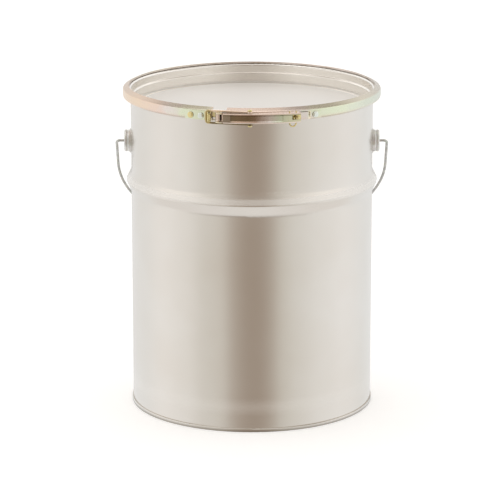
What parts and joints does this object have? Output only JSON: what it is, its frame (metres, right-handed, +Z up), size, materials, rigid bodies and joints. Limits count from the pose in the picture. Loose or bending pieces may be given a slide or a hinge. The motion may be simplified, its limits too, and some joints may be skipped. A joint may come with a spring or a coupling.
{
  "type": "paint can",
  "caption": "Straight-sided open-head steel pail with a recessed lid, a lever-lock clamp ring, a rolled hoop, a seamed bottom, welded ears and a wire bail.",
  "frame": {"origin": "on the can's axis, in the plane the bottom seam stands on", "axes": "+Z up along the can's axis; -Y to the front, where the closing lever is; +X and -X through the bail's ears; the bail lies at the back (+Y)"},
  "size_m": [0.3586, 0.3495, 0.4269],
  "materials": {
    "can_steel": "satin tin-grey sheet, softly reflecting",
    "galvanised": "dull galvanised wire and pressings",
    "zinc_ring": "yellow-passivated zinc, faintly iridescent",
    "zinc_fittings": "yellow-passivated zinc, golden",
    "zinc_lever": "yellow-passivated zinc, brown to green",
    "zinc_link": "yellow-passivated zinc, pinkish wire",
    "gasket": "soft black sealing ring",
    "compound": "cured sealing compound"
  },
  "bodies": {
    "can": {"body_shell": "can_steel", "bottom_end": "can_steel", "seam_compound": "compound", "ear_left": "galvanised", "ear_right": "galvanised"},
    "bail": {"bail_wire": "galvanised"},
    "lid": {"lid": "can_steel", "lid_gasket": "gasket"},
    "ring": {"clamp_ring": "zinc_ring", "catch": "zinc_fittings", "catch_rivets": "zinc_fittings", "lever_strap": "zinc_ring", "strap_rivet": "zinc_fittings", "lever_pivot_pin": "zinc_fittings", "lock_lug": "zinc_fittings"},
    "lever": {"lever": "zinc_lever", "link_pin": "zinc_fittings"},
    "link": {"link_wire": "zinc_link"},
    "safety_pin": {"safety_pin": "zinc_fittings"}
  },
  "joints": [
    {"name": "bail_swing", "type": "hinge", "parent": "can", "child": "bail", "pos_m": [0, 0, 0.3505], "axis": [1, 0, 0], "range_deg": [0, 272]},
    {"name": "lid_lift", "type": "slide", "parent": "can", "child": "lid", "axis": [0, 0, 1], "range_m": [0, 0.06]},
    {"name": "ring_lift", "type": "slide", "parent": "lid", "child": "ring", "axis": [0, 0, 1], "range_m": [0, 0.04], "deforming": ["clamp_ring"]},
    {"name": "lever_open", "type": "hinge", "parent": "ring", "child": "lever", "pos_m": [-0.04177, -0.16943, 0.4158], "axis": [0, 0, -1], "range_deg": [0, 120]},
    {"name": "link_swing", "type": "hinge", "parent": "lever", "child": "link", "pos_m": [-0.00246, -0.17618, 0.4158], "axis": [0, 0, 1], "range_deg": [0, 111]},
    {"name": "safety_pin_pull", "type": "slide", "parent": "lever", "child": "safety_pin", "axis": [0, 0, -1], "range_m": [0, 0.022]}
  ],
  "couplings": [
    {"joint": "link_swing", "follows": "lever_open", "ratio": 0.92}
  ]
}
